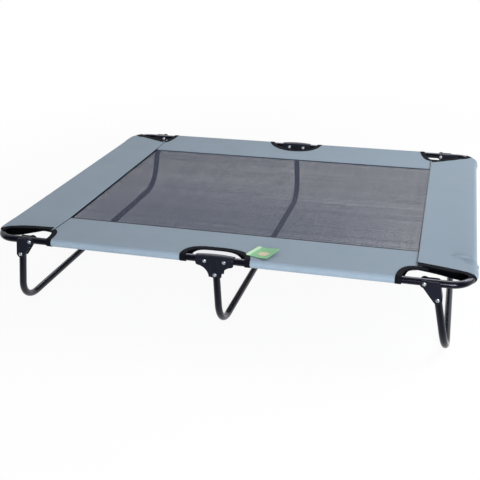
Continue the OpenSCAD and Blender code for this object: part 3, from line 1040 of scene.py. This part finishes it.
def strip_bindings(side, end):
    width = STRIP_HALF
    half, hole_deep, hole_power = CORNERS[side, end]["centre"]
    wide, deep, power = CORNERS[side, end]["cut"]

    def centre_edge(q):
        c, s = oval(q, hole_power)
        return half * c, hole_deep * s

    def corner_edge(q):
        run = (q - 0.5) / (0.5 - TUCKED_PART)
        if abs(run) > 1:
            past = (abs(run) - 1) * (0.5 - TUCKED_PART) / TUCKED_PART
            return SEAM_X + UNDERLAP * past, -math.copysign(deep, run)
        c, s = oval(0.5 + run / 2, power)
        return SEAM_X - wide * c, deep * s

    def place(x, sigma, lift):
        return strip_point(x, sigma / width, (side, end), lift)

    where = f"{ENDS[end]}_{SIDES[side]}"
    centre = bound_edge(f"tape_centre_{where}", centre_edge, 1, place, 90)
    folding_stand_in(centre, side, f"centre_binding_{where}")
    corner = bound_edge(f"tape_corner_strip_{where}", corner_edge, -1, place, 80)
    stand_in(corner, "binding", f"corner_binding_{where}")


def panel_binding(side, end):
    border = END_X - SEAM_X
    width = half_width(border, TOP_END)

    def edge(q):
        t = 1 - 2 * q
        n, _ = pocket(t, border, TOP_END, BOTTOM_END)
        return end * mouth(t, n, border, CORNERS[side, end]), t * (width + math.pi * HEM_R)

    def place(y, sigma, lift):
        return panel_point(y, sigma / width, side, lift)

    where = f"{ENDS[end]}_{SIDES[side]}"
    tape = bound_edge(f"tape_mouth_{where}", edge, -end, place, 110)
    stand_in(tape, "binding", f"corner_binding_{where}")


for side in SIDES:
    for end in ENDS:
        strip_bindings(side, end)
        panel_binding(side, end)
print("bindings", 3 * len(CORNERS))

# %% [markdown]
# The mesh is stretched between the borders, with its edges between their two layers. It is real
# yarn: fine warp lies across the cot, on wider weft that runs along it. Each yarn is a ribbon with
# a thickness, so the mesh is open from above and closes in a flat view along it, as a real one does.
# No two yarns are quite as wide, which gives the faint streaks of woven stuff.
# Black tape covers its sewn edge and runs on along the end panels' seams, as a thin line. It shows wider on
# the left and at the front: that extra black is painted shade under the hems.

# %% Mesh and edging
MESH_SAG = 2.0 * MM
TUCK = 5 * MM
YARN_T = 0.2 * MM
WARP_PITCH, WARP_WIDE = 1.4 * MM, 0.59 * MM
WEFT_PITCH, WEFT_WIDE = 2.5 * MM, 1.28 * MM
YARN_SPREAD = 0.1
YARN_SEED = 3
loom = np.random.default_rng(YARN_SEED)
WARP_PIECES, WEFT_PIECES = 10, 16
NEAR_FOLD = 1.8
NARROWING = 0.65
NARROW_FROM, NARROW_RUN = -3 * MM, 6 * MM
RISE_FROM, RISE_RUN = -4 * MM, 5 * MM
CLIMB_FROM, CLIMB_RUN = -5 * MM, 4 * MM
EDGING_FLAT = (0.68, 9 * MM)
# How much black tape shows at each end panel and along each side; the wider strips on the left and at the
# front are partly painted shade.
EDGING_AND_SHADE = {-1: (4 * MM, 4 * MM), 1: (2.3 * MM, 0.7 * MM)}
SIDE_EDGING_AND_SHADE = {-1: 6 * MM, 1: 2.7 * MM}


def mesh_height(x, y):
    """Height of the mesh: it sags a little in the middle of the window."""
    share_x = min(1.0, abs(x) / SEAM_X)
    share_y = min(1.0, abs(y) / SEAM_Y)
    return RAIL_Z + MESH_LIFT - MESH_SAG * (1 - share_x ** 2) * (1 - share_y ** 2)


def lay_yarns(bm, uv, first, last, pitch, wide, pieces, spot):
    """Adds yarns to a bmesh as ribbons; spot(u, edge) is the place u along a yarn's edge."""
    count = round((last - first) / pitch)
    middles = [first + (last - first) * (i + 0.5) / count for i in range(count)]
    halves = wide / 2 * loom.normal(1, YARN_SPREAD, count)
    edges = [middle + way * half for middle, half in zip(middles, halves) for way in (-1, 1)]
    verts = bmesh.ops.create_grid(bm, x_segments=pieces, y_segments=len(edges) - 1, size=0.5)["verts"]
    rows = {vert: round((vert.co.y + 0.5) * (len(edges) - 1)) for vert in verts}
    faces = {face for vert in verts for face in vert.link_faces}
    gaps = [face for face in faces if min(rows[vert] for vert in face.verts) % 2]
    bmesh.ops.delete(bm, geom=gaps, context="FACES")
    for vert, row in rows.items():
        vert.co = spot(vert.co.x + 0.5, edges[row])
        for loop in vert.link_loops:
            loop[uv].uv = vert.co.xy


def mesh_window(side):
    deep = SEAM_Y + TUCK
    wide = SEAM_X + TUCK

    def place(share, y, drop):
        x = (seam_x(side, y) + TUCK) * share
        return Vector((side * x, y, mesh_height(x, y) - drop))

    bm = bmesh.new()
    uv = bm.loops.layers.uv.new("flat")
    lay_yarns(bm, uv, 0.0, wide, WARP_PITCH, WARP_WIDE, WARP_PIECES,
              lambda u, edge: place(edge / wide, deep * (2 * u - 1), 0.0))
    lay_yarns(bm, uv, -deep, deep, WEFT_PITCH, WEFT_WIDE, WEFT_PIECES,
              lambda u, edge: place(u ** NEAR_FOLD, edge, YARN_T))
    window = new_object(f"woven_mesh_{SIDES[side]}", bm, mesh_yarn)
    thicken(window, YARN_T)
    folding_stand_in(window, side, f"mesh_{SIDES[side]}")


def side_edging(side, end):
    seen = SIDE_EDGING_AND_SHADE[end]
    rows = [SEAM_Y - seen + (seen + TUCK) * i / 4 for i in range(5)]

    def spot(u, y):
        x = SEAM_X * u ** 1.4
        return Vector((side * x, end * y, mesh_height(x, y) + EDGING_T))

    tape = cloth_grid(f"edging_{ENDS[end]}_{SIDES[side]}", 48, rows, spot,
                      lambda u, y: (SEAM_X * u, y), [tape_cloth], EDGING_T)
    folding_stand_in(tape, side, f"mesh_edging_{SIDES[side]}")


def end_edging(side):
    front = CORNERS[side, -1]["upper"][1]
    back = CORNERS[side, 1]["upper"][1]

    def spot(u, share):
        y = -front + (front + back) * u
        seen = EDGING_AND_SHADE[side][0] + (EDGING_AND_SHADE[side][1] - EDGING_AND_SHADE[side][0]) * u
        row = -seen + (seen + TUCK) * share
        past = abs(y) - SEAM_Y
        x = seam_x(side, y) + row * (1 - NARROWING * ease((past - NARROW_FROM) / NARROW_RUN))
        over = RAIL_Z + strip_top(max(0.0, RAIL_Y - abs(y))) + CLOTH / 2 + EDGING_T / 2
        z = mesh_height(x, y) + EDGING_T + (LAP - EDGING_T) * ease((row - RISE_FROM) / RISE_RUN)
        return Vector((side * x, y, z + (over - z) * ease((past - CLIMB_FROM) / CLIMB_RUN)))

    tape = cloth_grid(f"edging_end_{SIDES[side]}", 90, [i / 4 for i in range(5)], spot,
                      lambda u, share: (u * EDGING_FLAT[0], share * EDGING_FLAT[1]), [tape_cloth], EDGING_T)
    stand_in(tape, "binding", f"mesh_edging_{SIDES[side]}")


for side in SIDES:
    mesh_window(side)
    end_edging(side)
    for end in ENDS:
        side_edging(side, end)
print("mesh sag", MESH_SAG)

# %% [markdown]
# The hems are sewn with one row of lockstitch. Each stitch is a short thread lying on the cloth:
# a small sphere drawn out along the seam, one every 4 mm.

# %% Stitches
STITCH_STEP = 4 * MM
STITCH_HALF = 1.5 * MM
THREAD_R = 0.28 * MM
FROM_HEM = 3.5 * MM


def sewing_thread():
    """Grey polyester sewing thread, twisted from lighter and darker strands."""
    material, tree, place = begin_material("grey_sewing_thread")
    twist = add(tree, "ShaderNodeTexWave", {"Vector": place.outputs["Object"],
                                            "Scale": WAVE / (0.5 * MM), "Distortion": 2.0},
                wave_type="BANDS", bands_direction="DIAGONAL", wave_profile="SIN")
    tone = add(tree, "ShaderNodeMix", {"Factor": twist.outputs["Fac"], "A": ink("6c7a86"),
                                       "B": ink("8896a0")}, data_type="RGBA")
    thread = add(tree, "ShaderNodeBsdfPrincipled", {"Base Color": tone.outputs["Result"], "Roughness": 0.55})
    add(tree, "ShaderNodeOutputMaterial", {"Surface": thread.outputs[0]})
    return material


def stitch_row(name, place, start, stop):
    """Stitches along place(distance), a curve on the cloth, from start to stop."""
    bm = bmesh.new()
    for i in range(int((stop - start) / STITCH_STEP)):
        middle = start + (i + 0.5) * STITCH_STEP
        a, b = place(middle - STITCH_HALF), place(middle + STITCH_HALF)
        run = b - a
        across = run.cross(Vector((0, 0, 1))).normalized() * THREAD_R
        above = across.cross(run).normalized() * THREAD_R
        shape = Matrix((run / 2, across, above)).transposed().to_4x4()
        shape.translation = (a + b) / 2
        bmesh.ops.create_uvsphere(bm, u_segments=6, v_segments=4, radius=1, matrix=shape)
    bmesh.ops.recalc_face_normals(bm, faces=bm.faces)
    made = new_object(name, bm, thread_grey)
    made.data.shade_smooth()
    return made


thread_grey = sewing_thread()
for side, side_word in SIDES.items():
    along_t = 1 - FROM_HEM / STRIP_HALF
    for end, end_word in ENDS.items():
        row = stitch_row(f"stitches_{end_word}_{side_word}",
                         lambda x: strip_point(x, along_t, (side, end), CLOTH / 2 + THREAD_R / 2),
                         0.0, seam_x(side, end * SEAM_Y))
        fold_at_middle(row, side)
    across_t = 1 - FROM_HEM / half_width(END_X - SEAM_X, TOP_END + LAP)
    row = stitch_row(f"stitches_end_{side_word}",
                     lambda y: panel_point(y, across_t, side, CLOTH / 2 + THREAD_R / 2),
                     -CORNERS[side, -1]["upper"][1], CORNERS[side, 1]["upper"][1])
    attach(row, f"{side_word}_half")
print("a stitch every", STITCH_STEP)

# %% [markdown]
# A printed card lies on the front border: mottled green with a sand-coloured patch and a pale band,
# a thin gloss and one side curled up.


# %% Swing tag
def printed_card():
    """Coated card: mottled greens, a pale band and a sand-coloured patch, slightly glossy."""
    material, tree, place = begin_material("printed_coated_card")
    flat = place.outputs["UV"]
    blot = add(tree, "ShaderNodeTexNoise",
               {"Vector": flat, "Scale": 1 / (7 * MM), "Detail": 4.0}).outputs["Fac"]
    green, sand = [add(tree, "ShaderNodeMix", {"Factor": blot, "A": ink(dark), "B": ink(light)},
                       data_type="RGBA") for dark, light in (("1f7a3a", "6cc07c"), ("8a6a48", "ecd9b4"))]
    patch = add(tree, "ShaderNodeMapping", {"Vector": flat, "Location": (-0.4, 0.45, 0),
                                            "Scale": (1 / (15 * MM), 1 / (10 * MM), 1)})
    away = add(tree, "ShaderNodeVectorMath", {0: patch.outputs["Vector"]}, operation="LENGTH")
    ragged = add(tree, "ShaderNodeMath", {0: away.outputs["Value"], 1: blot}, operation="ADD")
    sandy = add(tree, "ShaderNodeMapRange", {"Value": ragged.outputs[0], "From Min": 1.25, "From Max": 1.5,
                                             "To Min": 1.0, "To Max": 0.0})
    ground = add(tree, "ShaderNodeMix", {"Factor": sandy.outputs["Result"], "A": green.outputs["Result"],
                                         "B": sand.outputs["Result"]}, data_type="RGBA")
    parts = add(tree, "ShaderNodeSeparateXYZ", {"Vector": flat})
    band = add(tree, "ShaderNodeMapRange", {"Value": parts.outputs["X"], "From Min": -20 * MM,
                                            "From Max": -18 * MM, "To Min": 0.75, "To Max": 0.0})
    tone = add(tree, "ShaderNodeMix", {"Factor": band.outputs["Result"], "A": ground.outputs["Result"],
                                       "B": ink("bfe0b8")}, data_type="RGBA")
    card = add(tree, "ShaderNodeBsdfPrincipled", {"Base Color": tone.outputs["Result"], "Roughness": 0.35})
    add(tree, "ShaderNodeOutputMaterial", {"Surface": card.outputs[0]})
    return material


TAG_HALF = (29 * MM, 25 * MM)
TAG_CORNER = 4 * MM
TAG_TURN = math.radians(-20)
TAG_SLOPE = math.radians(2.5)
TAG_CURL = 8 * MM
tag_low, tag_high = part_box("swing_tag")
tag_middle = (tag_low + tag_high) / 2
TAG_T = 0.4 * MM
TAG_LIFT = 0.3 * MM
TAG_ROWS = [math.sin(math.pi / 2 * i / 12) for i in range(-12, 13)]


def tag_flat(u, row):
    """Place on the flat card, whose corners are rounded."""
    inset = max(0.0, abs(row) * TAG_HALF[1] - TAG_HALF[1] + TAG_CORNER)
    half = TAG_HALF[0] - TAG_CORNER + math.sqrt(max(0.0, TAG_CORNER ** 2 - inset ** 2))
    return half * (2 * u - 1), TAG_HALF[1] * row


def tag_point(u, row):
    a, b = tag_flat(u, row)
    x = a * math.cos(TAG_TURN) - b * math.sin(TAG_TURN)
    y = a * math.sin(TAG_TURN) + b * math.cos(TAG_TURN)
    curl = TAG_CURL * ease(0.75 * u + 0.12 * row) ** 2
    return tag_middle + Vector((x, y, TAG_LIFT + curl - y * math.tan(TAG_SLOPE)))


tag = cloth_grid("card_tag", 16, TAG_ROWS, tag_point, tag_flat, [printed_card()], TAG_T)
stand_in(tag, "tag", "swing_tag")
print("tag at", [round(v, 4) for v in tag_middle])
